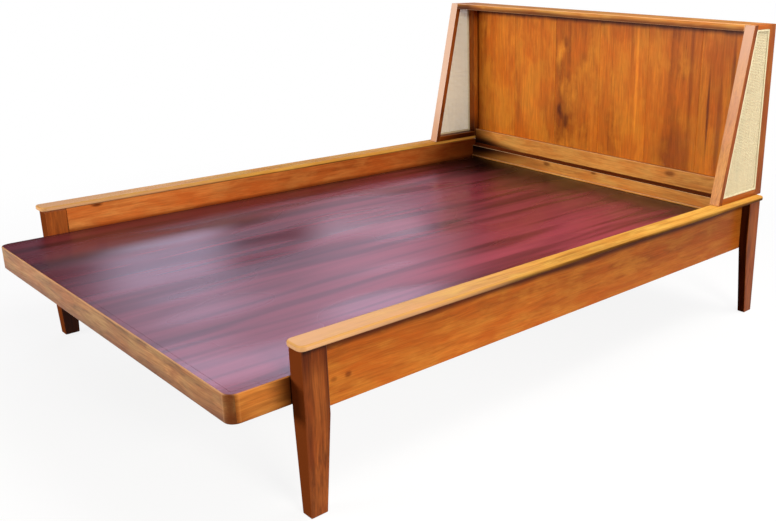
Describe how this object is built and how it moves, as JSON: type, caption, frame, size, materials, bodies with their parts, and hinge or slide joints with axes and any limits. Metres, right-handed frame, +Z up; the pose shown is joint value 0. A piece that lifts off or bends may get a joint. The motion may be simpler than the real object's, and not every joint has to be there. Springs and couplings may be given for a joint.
{
  "type": "cane bed",
  "caption": "Low wooden double bed frame with a solid mattress deck, capped side rails, tapered legs and a boarded headboard with sloping cane wings.",
  "frame": {"origin": "on the floor under the middle of the whole bed", "axes": "+Y towards the headboard along the length, +X to the right side seen from the foot, +Z up"},
  "size_m": [1.502, 1.951, 0.989],
  "materials": {
    "leg_wood": "stained pine, satin lacquer",
    "rail_wood": "stained pine, satin lacquer",
    "cap_wood": "honey pine, satin lacquer",
    "deck_edge_wood": "tan pine lipping, satin lacquer",
    "stained_mahogany_veneer": "dark red stained veneer, gloss lacquer",
    "headboard_frame_wood": "honey pine, satin lacquer",
    "headboard_board_wood": "orange-brown knotty boards, satin lacquer",
    "woven_cane": "natural woven cane, unfinished",
    "unfinished_pine": "unfinished softwood",
    "beech_dowel": "plain beech",
    "zinc_plated_steel": "zinc plated"
  },
  "bodies": {
    "root": {"foot_leg_left": "leg_wood", "foot_leg_right": "leg_wood", "head_leg_left": "leg_wood", "head_leg_right": "leg_wood", "side_rail_left": "rail_wood", "side_rail_right": "rail_wood", "head_rail": "rail_wood", "side_cap_left": "cap_wood", "side_cap_right": "cap_wood", "head_bead": "cap_wood", "deck_edge_foot": "deck_edge_wood", "deck_edge_head": "deck_edge_wood", "deck_edge_left": "deck_edge_wood", "deck_edge_right": "deck_edge_wood", "deck_panel": "stained_mahogany_veneer", "headboard_top_board": "headboard_frame_wood", "headboard_bottom_rail": "headboard_frame_wood", "wing_left_front_stile": "headboard_frame_wood", "wing_left_rear_stile": "headboard_frame_wood", "wing_left_bottom_rail": "headboard_frame_wood", "wing_left_top_rail": "headboard_frame_wood", "wing_right_front_stile": "headboard_frame_wood", "wing_right_rear_stile": "headboard_frame_wood", "wing_right_bottom_rail": "headboard_frame_wood", "wing_right_top_rail": "headboard_frame_wood", "headboard_board_1": "headboard_board_wood", "headboard_board_2": "headboard_board_wood", "headboard_board_3": "headboard_board_wood", "headboard_board_4": "headboard_board_wood", "headboard_board_5": "headboard_board_wood", "headboard_board_6": "headboard_board_wood", "wing_left_cane": "woven_cane", "wing_left_spline": "woven_cane", "wing_right_cane": "woven_cane", "wing_right_spline": "woven_cane", "foot_rail": "unfinished_pine", "side_cleat_left": "unfinished_pine", "side_cleat_right": "unfinished_pine", "corner_block_foot_left": "unfinished_pine", "corner_block_foot_right": "unfinished_pine", "corner_block_head_left": "unfinished_pine", "corner_block_head_right": "unfinished_pine", "deck_bearer_1": "unfinished_pine", "deck_bearer_2": "unfinished_pine", "deck_bearer_3": "unfinished_pine", "deck_bearer_4": "unfinished_pine", "deck_bearer_5": "unfinished_pine", "cap_dowel_foot_left": "beech_dowel", "cap_dowel_foot_right": "beech_dowel", "cap_dowel_head_left": "beech_dowel", "cap_dowel_head_right": "beech_dowel", "wing_dowel_foot_left": "beech_dowel", "wing_dowel_foot_right": "beech_dowel", "wing_dowel_head_left": "beech_dowel", "wing_dowel_head_right": "beech_dowel", "leg_screw_lower_left": "zinc_plated_steel", "leg_screw_lower_right": "zinc_plated_steel", "leg_screw_upper_left": "zinc_plated_steel", "leg_screw_upper_right": "zinc_plated_steel"}
  },
  "joints": []
}
